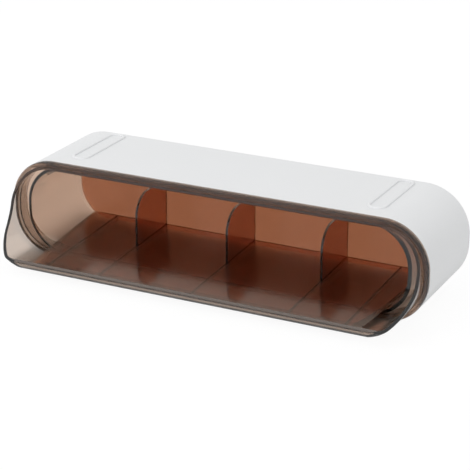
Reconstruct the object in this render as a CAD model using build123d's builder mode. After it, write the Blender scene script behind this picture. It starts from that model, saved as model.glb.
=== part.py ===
from build123d import *
import os
from math import radians, tan

# Rolling egg dispenser: a white sleeve, open at the front, holds a smoke tinted drawer.
# Origin: centre of the footprint, on the surface that the feet stand on.
# +X along the width, +Y to the back, +Z up. The open front faces -Y. Millimetres and degrees.

# Outer case
case_width = 308.0
case_height = 70.0
case_depth = 75.0
end_flat = 6.0
case_wall = 2.4
rear_edge_round = 2.0
mouth_edge_round = 0.5

# Stacking rails on the roof, and the feet that would stand inside them
rail_end_margin = 44.0
rail_rear_margin = 3.5
rail_length = 60.0
rail_width = 13.7
rail_bead = 2.4
rail_height = 1.0
rail_round = 0.9
foot_clearance = 0.45
foot_length = 17.0
foot_stand = 1.5
foot_pocket_depth = 1.0
foot_pocket_gap = 0.1
foot_edge_round = 0.4

# Drawer shell: the ring, its lip and its flange
slide_gap = 0.6
drawer_wall = 2.2
lip_reach = 39.4
lip_end_round = 3.2
chin_round = 5.0
rim_rise = 0.6
rake_angle = 39.0
knee_reach = 13.5
brow_reach = 5.4
brow_height = 58.5
brow_round = 25.0
rim_edge_round = 0.6
flange_depth = 4.0
flange_gap = 0.3
flange_edge_round = 2.6
collar_depth = 8.0

# Drawer shell: the tray behind the ring
tray_end_margin = 8.8
drawer_tail_gap = 4.0
drawer_rear_round = 3.2
drawer_wall_height = 54.0
wall_corner_round = 9.0

# Rolling ramp that lies in the drawer
lane_count = 4
ramp_wall = 1.6
ramp_gap = 0.3
ramp_angle = 2.5
ramp_front_gap = 1.0
ramp_edge_round = 0.7
ramp_back_height = 46.0
ramp_foot_gap = 1.0
fin_height = 40.0
fin_start = 22.0
fin_round = 16.0
end_rib_margin = 30.0
rib_end_gap = 2.0

# Stop nibs on the floor of the case, and the grooves under the drawer that run over them
nib_width = 10.0
nib_length = 4.0
nib_height = 1.2
nib_setback = 2.5
groove_depth = 1.0
groove_gap = 0.5
groove_tail_margin = 4.6

# Places that follow from the sizes
total_depth = lip_reach + case_depth
back_y = total_depth / 2
mouth_y = back_y - case_depth
lip_y = mouth_y - lip_reach
case_top_z = foot_stand + case_height
case_mid_z = foot_stand + case_height / 2
drawer_inset = case_wall + slide_gap
cavity_inset = drawer_inset + drawer_wall
ramp_inset = cavity_inset + ramp_gap
drawer_tail_y = back_y - case_wall - drawer_tail_gap
flange_back_y = mouth_y - flange_gap
flange_front_y = flange_back_y - flange_depth
collar_back_y = mouth_y + collar_depth
lane_room = case_width - 2 * (cavity_inset + tray_end_margin)
lane_pitch = lane_room / lane_count
drawer_base_z = foot_stand + drawer_inset
drawer_floor_z = foot_stand + cavity_inset
drawer_top_z = foot_stand + drawer_wall_height
brow_y = mouth_y - brow_reach
brow_z = foot_stand + brow_height
rake_rise = tan(radians(rake_angle))
chin_y = lip_y + chin_round
chin_z = drawer_base_z + chin_round + rim_rise
knee_y = mouth_y - knee_reach
knee_z = chin_z + (knee_y - lip_y) * rake_rise
ramp_front_y = chin_y + ramp_front_gap
ramp_back_y = drawer_tail_y - drawer_wall - ramp_gap
ramp_climb = (ramp_back_y - ramp_front_y) * tan(radians(ramp_angle))
rail_x = case_width / 2 - rail_end_margin
rail_y = back_y - rail_rear_margin - rail_length / 2
rail_room_length = rail_length - 2 * rail_bead
rail_room_width = rail_width - 2 * rail_bead
foot_width = rail_room_width - 2 * foot_clearance
pocket_width = foot_width + 2 * foot_pocket_gap
pocket_length = foot_length + 2 * foot_pocket_gap
foot_reach = rail_room_length / 2 - foot_clearance - foot_length / 2
end_rib_x = lane_room / 2 - end_rib_margin
nib_x = lane_pitch
nib_y = mouth_y + nib_setback + nib_length / 2
groove_front_y = mouth_y + nib_setback - groove_gap
groove_back_y = drawer_tail_y - groove_tail_margin
groove_y = (groove_front_y + groove_back_y) / 2
travel = groove_back_y - groove_gap - (nib_y + nib_length / 2)
past_tail_y = drawer_tail_y + case_depth
past_lip_y = lip_y - case_depth
past_top_z = case_top_z + case_height
past_base_z = drawer_base_z - case_height
past_chin_z = chin_z - case_depth * rake_rise
lane_edges = [(lane - lane_count / 2) * lane_pitch for lane in range(1, lane_count)]


def pill(inset, end_margin=0, mode=Mode.ADD):
    """The outline of the case from the front, drawn in by inset all round and more by end_margin at each end."""
    width = case_width - 2 * (inset + end_margin)
    height = case_height - 2 * inset
    with Locations((0, case_mid_z)):
        return RectangleRounded(width, height, (height - end_flat) / 2, mode=mode)


def upright(y):
    """A plane that faces the front, at the depth y."""
    return Plane.XZ.offset(-y)


def drawer_form(form, wall):
    """The drawer's outside for a wall of zero, or its hollow when wall is the thickness of its walls."""
    with BuildSketch(upright(flange_back_y - wall)) as ring:
        pill(drawer_inset + wall)
    extrude(ring.sketch, amount=flange_back_y - lip_y - 2 * wall)
    fillet(form.faces().sort_by(Axis.Y)[0].edges(), lip_end_round - wall)
    # The chin is a wider round, which runs straight across
    with BuildSketch(Plane.YZ) as below_chin:
        with BuildLine():
            TangentArc(
                (chin_y, drawer_base_z + wall),
                (lip_y + wall, drawer_base_z + chin_round),
                tangent=(-1, 0),
            )
            Polyline(
                (lip_y + wall, drawer_base_z + chin_round),
                (past_lip_y, drawer_base_z + chin_round),
                (past_lip_y, past_base_z),
                (chin_y, past_base_z),
                (chin_y, drawer_base_z + wall),
            )
        make_face()
    extrude(below_chin.sketch, amount=case_width / 2, both=True, mode=Mode.SUBTRACT)
    # The tray behind the ring has the same height and stops short of it at both ends
    with BuildSketch(upright(drawer_tail_y - wall)) as tray:
        pill(drawer_inset + wall, tray_end_margin)
    extrude(tray.sketch, amount=drawer_tail_y - flange_back_y)
    fillet(form.faces().sort_by(Axis.Y)[-1].edges(), drawer_rear_round - wall)


def is_land(face):
    """True for the narrow faces along the lip, which look forward or forward and up."""
    normal = face.normal_at()
    return abs(normal.X) < 0.01 and normal.Y < -0.3 and normal.Z > -0.01 and face.center().Y < flange_front_y


# Outer case: one moulding, a deep sleeve with a closed back
with BuildPart() as outer_case:
    with BuildSketch(upright(back_y)):
        pill(0)
    extrude(amount=case_depth)
    fillet(outer_case.faces().sort_by(Axis.Y)[-1].edges(), rear_edge_round)
    with BuildSketch(upright(back_y - case_wall)):
        pill(case_wall)
    extrude(amount=case_depth, mode=Mode.SUBTRACT)
    mouth_rim = outer_case.faces().sort_by(Axis.Y)[0]
    fillet(mouth_rim.outer_wire().edges(), mouth_edge_round)
    # Two rails on the roof, each a low bead in a closed loop
    with BuildSketch(Plane.XY.offset(case_top_z)):
        with Locations((-rail_x, rail_y), (rail_x, rail_y)):
            SlotOverall(rail_length, rail_width, rotation=90)
            SlotOverall(rail_room_length, rail_room_width, rotation=90, mode=Mode.SUBTRACT)
    extrude(amount=rail_height)
    fillet(outer_case.faces().group_by(Axis.Z)[-1].edges(), rail_round)
    # Pockets for the feet, one below each end of each rail
    with BuildSketch(Plane.XY.offset(foot_stand)):
        with Locations((0, rail_y)):
            with GridLocations(2 * rail_x, 2 * foot_reach, 2, 2):
                SlotOverall(pocket_length, pocket_width, rotation=90)
    extrude(amount=foot_pocket_depth, mode=Mode.SUBTRACT)
    # Stop nibs just inside the mouth
    with BuildSketch(Plane.XY.offset(foot_stand + case_wall)):
        with Locations((-nib_x, nib_y), (nib_x, nib_y)):
            SlotOverall(nib_width, nib_length)
    extrude(amount=nib_height)
outer_case.part.label = "outer_case"

# Feet: soft pads, each held in its pocket
feet = []
for row, foot_y in (("front", rail_y - foot_reach), ("rear", rail_y + foot_reach)):
    for side, foot_x in (("left", -rail_x), ("right", rail_x)):
        with BuildPart() as foot:
            with BuildSketch():
                with Locations((foot_x, foot_y)):
                    SlotOverall(foot_length, foot_width, rotation=90)
            extrude(amount=foot_stand + foot_pocket_depth)
            fillet(foot.faces().sort_by(Axis.Z)[0].edges(), foot_edge_round)
        foot.part.label = f"foot_{row}_{side}"
        feet.append(foot.part)

# The hollow of the drawer
with BuildPart() as drawer_hollow:
    drawer_form(drawer_hollow, drawer_wall)

# Drawer shell: a full ring in front that scoops forward at the bottom, and an open tray behind it
with BuildPart() as drawer_shell:
    drawer_form(drawer_shell, 0)
    add(drawer_hollow.part, mode=Mode.SUBTRACT)
    # The flange that closes against the mouth of the case
    with BuildSketch(upright(flange_back_y)):
        pill(0)
        pill(drawer_inset + drawer_wall / 2, mode=Mode.SUBTRACT)
    extrude(amount=flange_depth)
    flange_faces = drawer_shell.faces().filter_by(Axis.Y)
    flange_front = flange_faces.sort_by(lambda face: abs(face.center().Y - flange_front_y))[0]
    fillet(flange_front.outer_wire().edges(), flange_edge_round)
    # The collar that guides the ring inside the case
    with BuildSketch(upright(collar_back_y)):
        pill(drawer_inset)
        pill(cavity_inset, mode=Mode.SUBTRACT)
    extrude(amount=collar_back_y - flange_back_y)
    # Behind the collar the tray is open above its walls
    with BuildSketch(Plane.YZ):
        with BuildLine():
            FilletPolyline(
                (past_tail_y, drawer_top_z),
                (collar_back_y, drawer_top_z),
                (collar_back_y, past_top_z),
                radius=wall_corner_round,
            )
            Polyline(
                (collar_back_y, past_top_z),
                (past_tail_y, past_top_z),
                (past_tail_y, drawer_top_z),
            )
        make_face()
    extrude(amount=case_width / 2, both=True, mode=Mode.SUBTRACT)
    # In front the lip stands upright at the brow, leans out below it and rakes forward to the chin
    with BuildSketch(Plane.YZ):
        with BuildLine():
            FilletPolyline(
                (past_lip_y, past_chin_z),
                (knee_y, knee_z),
                (brow_y, brow_z),
                (brow_y, past_top_z),
                radius=brow_round,
            )
            Polyline(
                (brow_y, past_top_z),
                (past_lip_y, past_top_z),
                (past_lip_y, past_chin_z),
            )
        make_face()
    extrude(amount=case_width / 2, both=True, mode=Mode.SUBTRACT)
    # The land along the lip has both its edges rounded
    land_edges = drawer_shell.faces(Select.LAST).filter_by(is_land).edges()
    fillet([edge for edge in land_edges if land_edges.count(edge) == 1], rim_edge_round)
    # Two grooves under the floor, which end where the stop nibs hold the drawer
    with BuildSketch(Plane.XY.offset(foot_stand + drawer_inset)):
        with Locations((-nib_x, groove_y), (nib_x, groove_y)):
            Rectangle(nib_width + 2 * groove_gap, groove_back_y - groove_front_y)
    extrude(amount=groove_depth, mode=Mode.SUBTRACT)
drawer_shell.part.label = "drawer_shell"

# Rolling ramp: a floor that falls to the front, a back plate and the fins between the lanes
with BuildPart() as rolling_ramp:
    with BuildSketch(Plane.YZ):
        with BuildLine():
            Polyline(
                (ramp_front_y, drawer_floor_z),
                (ramp_back_y, drawer_floor_z + ramp_climb),
                (ramp_back_y, drawer_floor_z + ramp_climb + ramp_wall),
                (ramp_front_y, drawer_floor_z + ramp_wall),
                close=True,
            )
        make_face()
    extrude(amount=case_width / 2, both=True)
    ramp_top_edge = rolling_ramp.edges().filter_by(Axis.X).group_by(Axis.Y)[0].sort_by(Axis.Z)[-1]
    fillet(ramp_top_edge, ramp_edge_round)
    with BuildSketch(upright(ramp_back_y)):
        with Locations((0, drawer_floor_z + ramp_foot_gap)):
            Rectangle(case_width, ramp_back_height - ramp_foot_gap, align=(Align.CENTER, Align.MIN))
    extrude(amount=ramp_wall)
    for edge_x in lane_edges:
        with BuildSketch(Plane.YZ.offset(edge_x)):
            with BuildLine():
                FilletPolyline(
                    (mouth_y + fin_start, drawer_floor_z),
                    (mouth_y + fin_start, drawer_floor_z + fin_height),
                    (ramp_back_y, drawer_floor_z + fin_height),
                    radius=fin_round,
                )
                Polyline(
                    (ramp_back_y, drawer_floor_z + fin_height),
                    (ramp_back_y, drawer_floor_z + ramp_foot_gap),
                    (ramp_back_y - rib_end_gap, drawer_floor_z),
                    (mouth_y + fin_start, drawer_floor_z),
                )
            make_face()
        extrude(amount=ramp_wall / 2, both=True)
    # The ends follow the inside of the drawer shell
    with BuildSketch(upright(ramp_back_y)):
        pill(ramp_inset, tray_end_margin)
    extrude(amount=ramp_back_y - ramp_front_y, mode=Mode.INTERSECT)
    # Ribs under the floor stand on the floor of the drawer shell
    for rib_x in [-end_rib_x, *lane_edges, end_rib_x]:
        with BuildSketch(Plane.YZ.offset(rib_x)):
            with BuildLine():
                Polyline(
                    (ramp_front_y, drawer_floor_z),
                    (ramp_front_y, drawer_floor_z + ramp_wall / 2),
                    (ramp_back_y - rib_end_gap, drawer_floor_z + ramp_climb + ramp_wall / 2),
                    (ramp_back_y - rib_end_gap, drawer_floor_z),
                    close=True,
                )
            make_face()
        extrude(amount=ramp_wall / 2, both=True)
rolling_ramp.part.label = "rolling_ramp"

print(f"drawer travel {travel:.2f} mm, whole size {case_width} x {total_depth} x {case_top_z} mm")
os.makedirs("parts", exist_ok=True)
for piece in [outer_case.part, drawer_shell.part, rolling_ramp.part, *feet]:
    export_step(piece, f"parts/{piece.label}.step")
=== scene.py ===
import math

import bpy
from bpy.props import FloatProperty, FloatVectorProperty, PointerProperty
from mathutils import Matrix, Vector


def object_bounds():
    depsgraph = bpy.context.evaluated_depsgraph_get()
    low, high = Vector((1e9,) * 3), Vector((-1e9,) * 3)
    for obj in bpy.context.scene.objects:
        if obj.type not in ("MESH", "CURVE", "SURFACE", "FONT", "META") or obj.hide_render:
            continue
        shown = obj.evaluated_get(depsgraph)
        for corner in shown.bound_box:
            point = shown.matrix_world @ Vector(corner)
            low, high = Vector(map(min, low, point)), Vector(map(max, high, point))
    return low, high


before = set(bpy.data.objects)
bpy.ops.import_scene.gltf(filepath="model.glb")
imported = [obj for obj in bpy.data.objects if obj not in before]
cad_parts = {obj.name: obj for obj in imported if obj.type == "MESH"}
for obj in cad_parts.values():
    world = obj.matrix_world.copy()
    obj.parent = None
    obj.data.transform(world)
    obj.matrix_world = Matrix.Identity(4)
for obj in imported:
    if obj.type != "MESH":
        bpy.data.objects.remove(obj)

bl_info = {
    "name": "Rolling Egg Dispenser",
    "version": (1, 0, 0),
    "blender": (4, 5, 0),
    "location": "View3D > Sidebar > Egg Dispenser",
    "description": "Finishes the case, drawer, ramp and feet of a rolling egg dispenser, and sets its stage",
    "category": "Object",
}

FEET = ("foot_front_left", "foot_front_right", "foot_rear_left", "foot_rear_right")
CAD_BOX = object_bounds()
MM = 0.001
WHITE = (1, 1, 1, 1)

# Driving sizes of the case that the box of the part doesn't tell
CASE_WALL = 2.4 * MM
CASE_CORNER = 32.0 * MM
FOOT_STAND = 1.5 * MM
RAIL_HEIGHT = 1.0 * MM

# The section of the case: its base, roof and middle, and the half sizes of the core that its round corners
# stand on. Then how far the middle of the wall lies from that core, and the middle of the back wall.
CASE_BASE = CAD_BOX[0].z + FOOT_STAND
CASE_ROOF = CAD_BOX[1].z - RAIL_HEIGHT
CASE_MIDDLE = (CASE_BASE + CASE_ROOF) / 2
CASE_CORE = (CAD_BOX[1].x - CASE_CORNER, 1, CASE_ROOF - CASE_MIDDLE - CASE_CORNER)
WALL_REACH = CASE_CORNER - CASE_WALL / 2
WALL_BACK = CAD_BOX[1].y - CASE_WALL / 2

# The sloping edge of the lip, whose front part gets a painted shade: where its front line lies, its slope in
# degrees, how far behind that line the painted shade reaches, and how far from the slope a surface still
# counts as the edge
LIP_FRONT = CAD_BOX[0].y
LIP_TOP = 10.1 * MM
LIP_SLOPE = 39.0
LIP_SHADE_REACH = 13.5 * MM
LIP_BAND = 0.4 * MM

# The patterns in the materials, in millimetres: how far apart their features are, and how deep they are
SINK, SINK_DEPTH = 60, 0.25
GRAIN_DEPTH = 0.03
DRAWER_RIPPLE, RAMP_RIPPLE, RIPPLE_DEPTH = 30, 20, 0.12
WEAR = 3
DUST, DUST_DEPTH = 1.2, 0.05
FIBRE = 2

# How far the colours and the roughness vary over a piece
CASE_SHADES = (0.975, 1.015)
PAD_SHADE = 1.08
BOARD_SHADE = 0.985
GRAIN_GLOSS = (-0.05, 0.07)
WEAR_GLOSS = (0.7, 1.5)

# The least share of the light that a tint can leave
LEAST_TINT = 0.001

# The stage: how far the floor is lifted to white and how bright that white is, the width of the soft edge of
# the shade under the dispenser, and how fast the light from the front fades to the sides. Then the half
# size of the floor, the lamp's place and size in metres, and the width of the sensor in millimetres.
BOARD_LIFT = 0.9
BOARD_WHITE = 1.03
SHADE_EDGE = 10.0 * MM
FRONT_FADE = 2.0
FLOOR_REACH = 3.0
LAMP_PLACE = (-0.55, -0.75, 1.45)
LAMP_SIZE = 1.2
SENSOR_WIDTH = 36.0


def linear(code):
    """The linear colour of an sRGB hex value such as "E7E9EA"."""
    parts = [int(code[at:at + 2], 16) / 255 for at in (0, 2, 4)]
    return tuple(part / 12.92 if part <= 0.04045 else ((part + 0.055) / 1.055) ** 2.4 for part in parts)


def tone(colour, factor=1.0):
    """A colour for a node, made darker or paler by the factor."""
    return (*[min(1, part * factor) for part in colour], 1)


def add(tree, kind, inputs=None, **settings):
    """Adds a node with its settings. Each input is given a value, or the socket that it is linked to."""
    node = tree.nodes.new(kind)
    for name, value in settings.items():
        setattr(node, name, value)
    for name, value in (inputs or {}).items():
        if isinstance(value, bpy.types.NodeSocket):
            tree.links.new(value, node.inputs[name])
        else:
            node.inputs[name].default_value = value
    return node


def calc(tree, operation, *values):
    """The result of a sum with numbers."""
    return add(tree, "ShaderNodeMath", dict(enumerate(values)), operation=operation).outputs["Value"]


def calc_vector(tree, operation, *values):
    """The result of a sum with vectors: a number for a length or a dot product, and else a vector."""
    result = "Value" if operation in ("LENGTH", "DOT_PRODUCT") else "Vector"
    return add(tree, "ShaderNodeVectorMath", dict(enumerate(values)), operation=operation).outputs[result]


def noise(tree, place, size_mm, detail, **inputs):
    """Soft noise whose features are size_mm apart. The coordinates are metres."""
    inputs = {"Vector": place, "Scale": 1 / (size_mm * MM), "Detail": detail, **inputs}
    return add(tree, "ShaderNodeTexNoise", inputs).outputs["Fac"]


def bump(tree, height, strength, depth_mm, **inputs):
    """The normal of a surface whose pattern is depth_mm deep."""
    inputs = {"Height": height, "Strength": strength, "Distance": depth_mm * MM, **inputs}
    return add(tree, "ShaderNodeBump", inputs).outputs["Normal"]


def spread(tree, value, low, high, **inputs):
    """The value, from 0 to 1, spread over the range from low to high."""
    inputs = {"Value": value, "To Min": low, "To Max": high, **inputs}
    return add(tree, "ShaderNodeMapRange", inputs).outputs["Result"]


def mix(tree, factor, first, second):
    """The first colour where the factor is 0, and the second where it is 1."""
    inputs = {"Factor": factor, "A": first, "B": second}
    return add(tree, "ShaderNodeMix", inputs, data_type="RGBA").outputs["Result"]


def mix_shaders(tree, factor, first, second):
    """The first shader where the factor is 0, and the second where it is 1."""
    return add(tree, "ShaderNodeMixShader", {0: factor, 1: first, 2: second}).outputs["Shader"]


def along_y(tree, vector):
    """How far the vector goes along Y."""
    return add(tree, "ShaderNodeSeparateXYZ", {"Vector": vector}).outputs["Y"]


def past_core(tree, place, middle, core):
    """How far a point lies outside a box, which is given by its middle and its half sizes."""
    folded = calc_vector(tree, "ABSOLUTE", calc_vector(tree, "SUBTRACT", place, middle))
    over = calc_vector(tree, "MAXIMUM", calc_vector(tree, "SUBTRACT", folded, core), (0, 0, 0))
    return calc_vector(tree, "LENGTH", over)


def seen_rays(tree):
    """A value that is 1 for the camera's own rays, and one that is 1 for mirrored and refracted rays too."""
    ray = add(tree, "ShaderNodeLightPath").outputs
    seen = calc(tree, "MAXIMUM", ray["Is Camera Ray"], ray["Is Glossy Ray"])
    return ray["Is Camera Ray"], calc(tree, "MAXIMUM", seen, ray["Is Transmission Ray"])


def new_material(name):
    """An empty node material, with its tree and the position of each point on the piece, in metres."""
    material = bpy.data.materials.new(name)
    material.use_nodes = True
    material.node_tree.nodes.clear()
    place = add(material.node_tree, "ShaderNodeTexCoord").outputs["Object"]
    return material, material.node_tree, place


def dress(name, material):
    """Gives the CAD piece its finished material."""
    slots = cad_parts[name].data.materials
    slots.clear()
    slots.append(material)


class CaseSettings(bpy.types.PropertyGroup):
    colour: FloatVectorProperty(
        name="Colour", description="Colour of the white plastic", subtype="COLOR", min=0, max=1,
        default=linear("D9DADB"))
    grain: FloatProperty(
        name="Grain", description="Distance between the grains that the mould leaves, in millimetres",
        default=0.9, min=0.2, max=5)
    roughness: FloatProperty(
        name="Roughness", description="Roughness of the satin surface", default=0.42, min=0, max=1)
    glow: FloatProperty(
        name="Glow", description="Share of the light that each face of the wall passes, seen from inside",
        default=0.9, min=0, max=1)
    glow_tint: FloatVectorProperty(
        name="Glow tint", description="Colour of the light that comes out of the wall on its inside",
        subtype="COLOR", min=0, max=1, default=linear("FFE6D4"))


class DrawerSettings(bpy.types.PropertyGroup):
    tint: FloatVectorProperty(
        name="Tint", description="Colour of white light after one wall of the drawer", subtype="COLOR",
        min=0, max=1, default=linear("CFC4BB"))
    wall: FloatProperty(
        name="Wall", description="Thickness of the wall that the tint is measured through, in millimetres",
        default=2.2, min=0.5, max=5)
    roughness: FloatProperty(
        name="Roughness", description="Roughness of the polished surface", default=0.04, min=0, max=1)
    # Painted shade: the edge colour darkens the light through the front of the lip's sloping edge, on top of
    # the dye, where the plastic itself is no darker
    edge: FloatVectorProperty(
        name="Edge", description="Colour of white light that enters by the cut edge of the lip",
        subtype="COLOR", min=0, max=1, default=linear("6A6C72"))


class RampSettings(bpy.types.PropertyGroup):
    # The ramp's tint is partly painted light: its smoke dye is real, and its warmer orange than the drawer's
    # tint stands in for warm light inside the dispenser
    tint: FloatVectorProperty(
        name="Tint", description="Colour of white light after one wall of the ramp", subtype="COLOR",
        min=0, max=1, default=linear("D6A489"))
    wall: FloatProperty(
        name="Wall", description="Thickness of the wall that the tint is measured through, in millimetres",
        default=1.6, min=0.5, max=5)
    roughness: FloatProperty(
        name="Roughness", description="Roughness of the rolling surface", default=0.12, min=0, max=1)


class FootSettings(bpy.types.PropertyGroup):
    colour: FloatVectorProperty(
        name="Colour", description="Colour of the soft pads", subtype="COLOR", min=0, max=1,
        default=linear("C9CACA"))


class StageSettings(bpy.types.PropertyGroup):
    floor_colour: FloatVectorProperty(
        name="Floor colour", description="Colour of the floor", subtype="COLOR", min=0, max=1,
        default=linear("E2E2E2"))
    sky: FloatProperty(
        name="Sky", description="Strength of the even light from all round", default=0.82, min=0, max=3)
    front: FloatProperty(
        name="Front", description="How much stronger the light from the front is than the rest",
        default=1.0, min=0, max=10)
    lamp: FloatProperty(
        name="Lamp", description="Power of the large soft lamp, in watts", default=6.0, min=0, max=100)
    camera_place: FloatVectorProperty(
        name="Camera place", description="Where the camera stands", subtype="TRANSLATION", unit="LENGTH",
        default=(0.4990, -0.9810, 0.4589))
    camera_azimuth: FloatProperty(
        name="Camera azimuth", description="How far the camera stands round to the right",
        subtype="ANGLE", default=math.radians(26.57))
    camera_elevation: FloatProperty(
        name="Camera elevation", description="How steeply the camera looks down", subtype="ANGLE",
        default=math.radians(21.19))
    camera_lens: FloatProperty(
        name="Camera lens", description="Focal length on a sensor 36 mm wide, in millimetres",
        default=134.5, min=10)


class DispenserSettings(bpy.types.PropertyGroup):
    case: PointerProperty(type=CaseSettings, name="Case", description="The white sleeve")
    drawer: PointerProperty(type=DrawerSettings, name="Drawer", description="The smoke tinted drawer")
    ramp: PointerProperty(type=RampSettings, name="Ramp", description="The sloped floor in the drawer")
    foot: PointerProperty(type=FootSettings, name="Feet", description="The pads under the case")
    stage: PointerProperty(
        type=StageSettings, name="Stage", description="The floor, the light and the camera")


def inside_of_case(tree, place):
    """A value that is 1 on the inner faces of the case's wall and 0 on its outer faces."""
    reach = past_core(tree, place, (0, 0, CASE_MIDDLE), CASE_CORE)
    within = calc(tree, "LESS_THAN", reach, WALL_REACH)
    before = calc(tree, "LESS_THAN", along_y(tree, place), WALL_BACK)
    return calc(tree, "MULTIPLY", within, before)


def satin_polypropylene(settings):
    """Injection moulded polypropylene from a fine spark-eroded mould: a soft satin white that looks faintly
    waxy, with a broad dull highlight and walls that are never quite flat."""
    material, tree, place = new_material("satin_polypropylene")
    drift = noise(tree, place, SINK, 2.0)
    dim, pale = [tone(settings.colour, shade) for shade in CASE_SHADES]
    grain = noise(tree, place, settings.grain, 3.0, Roughness=0.6)
    gloss = spread(tree, grain, *[settings.roughness + change for change in GRAIN_GLOSS])
    sink = bump(tree, drift, 0.35, SINK_DEPTH)
    skin = bump(tree, grain, 0.25, GRAIN_DEPTH, Normal=sink)
    shader = add(tree, "ShaderNodeBsdfPrincipled", {
        "Base Color": mix(tree, drift, dim, pale), "Roughness": gloss, "IOR": 1.49, "Normal": skin,
    })
    # The wall lets light through one way only. Seen from the inside a share of it comes through, and warm,
    # and seen from the outside none does. It stands in for the brightness of the inside, and isn't physical.
    inner = inside_of_case(tree, place)
    behind = add(tree, "ShaderNodeNewGeometry").outputs["Backfacing"]
    warm = mix(tree, inner, WHITE, tone(settings.glow_tint))
    glow = add(tree, "ShaderNodeBsdfTranslucent", {"Color": warm, "Normal": skin})
    share = calc(tree, "MULTIPLY", calc(tree, "MAXIMUM", inner, behind), settings.glow)
    surface = mix_shaders(tree, share, shader.outputs["BSDF"], glow.outputs["BSDF"])
    add(tree, "ShaderNodeOutputMaterial", {"Surface": surface})
    return material


def lip_shade_mask(tree, place):
    """A value that is 1 on the front part of the sloping edge of the lip, where the drawer gets its painted
    shade, and 0 elsewhere.
    """
    slope = math.radians(LIP_SLOPE)
    above = calc_vector(tree, "SUBTRACT", place, (0, LIP_FRONT, LIP_TOP))
    height = calc_vector(tree, "DOT_PRODUCT", above, (0, -math.sin(slope), math.cos(slope)))
    near = calc(tree, "LESS_THAN", calc(tree, "ABSOLUTE", height), LIP_BAND)
    front = calc(tree, "LESS_THAN", along_y(tree, place), LIP_FRONT + LIP_SHADE_REACH)
    return calc(tree, "MULTIPLY", near, front)


def smoke_styrene(name, settings, ripple_mm, edge=None):
    """Clear styrene acrylonitrile with a smoke brown dye, from a polished mould: thin walls let the light
    through warm and grey, thick ones are darker, and the surface mirrors what is bright. Given an edge
    colour, the front of the lip's sloping edge also gets a painted shade."""
    material, tree, place = new_material(name)
    ripple = noise(tree, place, ripple_mm, 1.0)
    wear = noise(tree, place, WEAR, 3.0)
    gloss = spread(tree, wear, *[settings.roughness * change for change in WEAR_GLOSS])
    shader = add(tree, "ShaderNodeBsdfPrincipled", {
        "Base Color": WHITE, "Roughness": gloss, "IOR": 1.57,
        "Normal": bump(tree, ripple, 0.3, RIPPLE_DEPTH), "Transmission Weight": 1.0,
    })
    if edge:
        # Painted shade: light through the front of the lip's sloping edge is darkened here, on top of the dye
        painted_edge_shade = mix(tree, lip_shade_mask(tree, place), WHITE, tone(edge))
        tree.links.new(painted_edge_shade, shader.inputs["Base Color"])
    # The dye takes the same share of the light with each step through the wall
    losses = [-math.log(max(part, LEAST_TINT)) / (settings.wall * MM) for part in settings.tint]
    density = max(losses)
    kept = [1 - loss / density for loss in losses]
    dye = add(tree, "ShaderNodeVolumeAbsorption", {"Color": (*kept, 1), "Density": density})
    add(tree, "ShaderNodeOutputMaterial", {
        "Surface": shader.outputs["BSDF"], "Volume": dye.outputs["Volume"],
    })
    return material


def soft_elastomer(settings):
    """Thermoplastic elastomer: a matt, slightly dusty pad that takes no clear highlight."""
    material, tree, place = new_material("soft_elastomer")
    dust = noise(tree, place, DUST, 4.0)
    colour = mix(tree, dust, tone(settings.colour), tone(settings.colour, PAD_SHADE))
    shader = add(tree, "ShaderNodeBsdfPrincipled", {
        "Base Color": colour, "Roughness": 0.78, "IOR": 1.5, "Normal": bump(tree, dust, 0.3, DUST_DEPTH),
    })
    add(tree, "ShaderNodeOutputMaterial", {"Surface": shader.outputs["BSDF"]})
    return material


def pale_board(settings):
    """Matt painted board. Seen directly, in a reflection or through clear plastic it is lifted towards
    white, and what lies on it still leaves a soft shadow. Under the dispenser, the clear plastic and its
    reflections show the true shade."""
    material, tree, place = new_material("pale_board")
    fibre = noise(tree, place, FIBRE, 3.0)
    colour = mix(tree, fibre, tone(settings.floor_colour, BOARD_SHADE), tone(settings.floor_colour))
    paint = add(tree, "ShaderNodeBsdfPrincipled", {
        "Base Color": colour, "Roughness": 0.9, "Specular IOR Level": 0.1,
    })
    white = add(tree, "ShaderNodeEmission", {"Color": WHITE, "Strength": BOARD_WHITE})
    camera, seen = seen_rays(tree)
    # How much a point is lifted, from nothing under the dispenser to the whole lift outside its footprint
    low, high = CAD_BOX
    middle = (low + high) / 2
    core = (high.x - middle.x - SHADE_EDGE, high.y - middle.y - SHADE_EDGE, 1)
    reach = past_core(tree, place, (middle.x, middle.y, 0), core)
    outside = spread(tree, reach, 0.0, BOARD_LIFT, **{"From Max": SHADE_EDGE})
    direct = calc(tree, "MULTIPLY", camera, BOARD_LIFT)
    lift = calc(tree, "MAXIMUM", calc(tree, "MULTIPLY", seen, outside), direct)
    surface = mix_shaders(tree, lift, paint.outputs["BSDF"], white.outputs["Emission"])
    add(tree, "ShaderNodeOutputMaterial", {"Surface": surface})
    return material


def studio_world(settings):
    """Soft light from all round, stronger in front. Seen directly, in a reflection or through clear plastic
    it is white."""
    world = bpy.data.worlds.new("studio")
    world.use_nodes = True
    tree = world.node_tree
    tree.nodes.clear()
    seen = seen_rays(tree)[1]
    way = along_y(tree, add(tree, "ShaderNodeTexCoord").outputs["Generated"])
    ahead = spread(tree, way, 0.0, 1.0, **{"From Min": 0.0, "From Max": -1.0})
    light = calc(tree, "MULTIPLY_ADD", calc(tree, "POWER", ahead, FRONT_FADE), settings.front, settings.sky)
    strength = spread(tree, seen, light, 1.0)
    sky = add(tree, "ShaderNodeBackground", {"Color": WHITE, "Strength": strength})
    add(tree, "ShaderNodeOutputWorld", {"Surface": sky.outputs["Background"]})
    return world


class DISPENSER_OT_case(bpy.types.Operator):
    """Finish the white case"""
    bl_idname = "dispenser.case"
    bl_label = "Finish Case"

    def execute(self, context):
        dress("outer_case", satin_polypropylene(context.scene.dispenser.case))
        return {"FINISHED"}


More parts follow.
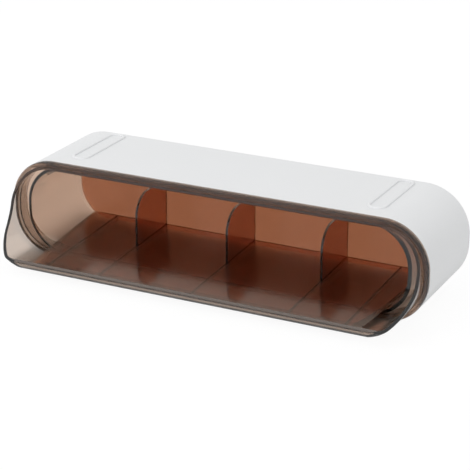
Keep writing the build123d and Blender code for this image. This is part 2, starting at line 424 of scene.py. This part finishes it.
class DISPENSER_OT_drawer(bpy.types.Operator):
    """Finish the smoke tinted drawer"""
    bl_idname = "dispenser.drawer"
    bl_label = "Finish Drawer"

    def execute(self, context):
        settings = context.scene.dispenser.drawer
        plastic = smoke_styrene("smoke_styrene_polished", settings, DRAWER_RIPPLE, settings.edge)
        dress("drawer_shell", plastic)
        return {"FINISHED"}


class DISPENSER_OT_ramp(bpy.types.Operator):
    """Finish the ramp that lies in the drawer"""
    bl_idname = "dispenser.ramp"
    bl_label = "Finish Ramp"

    def execute(self, context):
        plastic = smoke_styrene("smoke_styrene_satin", context.scene.dispenser.ramp, RAMP_RIPPLE)
        dress("rolling_ramp", plastic)
        return {"FINISHED"}


class DISPENSER_OT_feet(bpy.types.Operator):
    """Finish the four pads under the case"""
    bl_idname = "dispenser.feet"
    bl_label = "Finish Feet"

    def execute(self, context):
        pad = soft_elastomer(context.scene.dispenser.foot)
        for foot in FEET:
            dress(foot, pad)
        return {"FINISHED"}


class DISPENSER_OT_stage(bpy.types.Operator):
    """Make the floor, the light and the camera"""
    bl_idname = "dispenser.stage"
    bl_label = "Make Stage"

    def execute(self, context):
        settings = context.scene.dispenser.stage
        low, high = CAD_BOX
        middle = (low + high) / 2
        link = context.scene.collection.objects.link
        # The floor
        mesh = bpy.data.meshes.new("floor")
        signs = ((-1, -1), (1, -1), (1, 1), (-1, 1))
        corners = [(x * FLOOR_REACH, y * FLOOR_REACH, low.z) for x, y in signs]
        mesh.from_pydata(corners, [], [(0, 1, 2, 3)])
        mesh.materials.append(pale_board(settings))
        floor = bpy.data.objects.new("floor", mesh)
        link(floor)
        # The large soft lamp, up and to the left of the camera, which shows in no reflection
        light = bpy.data.lights.new("soft_lamp", "AREA")
        light.shape = "DISK"
        light.size = LAMP_SIZE
        light.energy = settings.lamp
        lamp = bpy.data.objects.new("soft_lamp", light)
        lamp.location = LAMP_PLACE
        lamp.rotation_euler = (middle - lamp.location).to_track_quat("-Z", "Y").to_euler()
        lamp.visible_glossy = False
        link(lamp)
        context.scene.world = studio_world(settings)
        # The camera
        data = bpy.data.cameras.new("camera")
        data.lens = settings.camera_lens
        data.sensor_width = SENSOR_WIDTH
        camera = bpy.data.objects.new("camera", data)
        camera.location = settings.camera_place
        camera.rotation_euler = (math.pi / 2 - settings.camera_elevation, 0, settings.camera_azimuth)
        link(camera)
        context.scene.camera = camera
        context.scene.view_settings.view_transform = "Standard"
        return {"FINISHED"}


class DISPENSER_PT_panel(bpy.types.Panel):
    """The steps that finish the dispenser"""
    bl_idname = "DISPENSER_PT_panel"
    bl_label = "Egg Dispenser"
    bl_space_type = "VIEW_3D"
    bl_region_type = "UI"
    bl_category = "Egg Dispenser"

    def draw(self, context):
        settings = context.scene.dispenser
        for step in STEPS:
            self.layout.operator(step.bl_idname)
        for group in (settings.case, settings.drawer, settings.ramp, settings.foot, settings.stage):
            box = self.layout.box()
            for name in group.__annotations__:
                box.prop(group, name)


STEPS = (DISPENSER_OT_case, DISPENSER_OT_drawer, DISPENSER_OT_ramp, DISPENSER_OT_feet, DISPENSER_OT_stage)
GROUPS = (CaseSettings, DrawerSettings, RampSettings, FootSettings, StageSettings, DispenserSettings)
CLASSES = (*GROUPS, *STEPS, DISPENSER_PT_panel)


def register():
    for cls in CLASSES:
        bpy.utils.register_class(cls)
    bpy.types.Scene.dispenser = PointerProperty(type=DispenserSettings)


def unregister():
    del bpy.types.Scene.dispenser
    for cls in reversed(CLASSES):
        bpy.utils.unregister_class(cls)


def main():
    register()
    bpy.ops.dispenser.case()
    bpy.ops.dispenser.drawer()
    bpy.ops.dispenser.ramp()
    bpy.ops.dispenser.feet()
    bpy.ops.dispenser.stage()


if __name__ == "__main__":
    main()
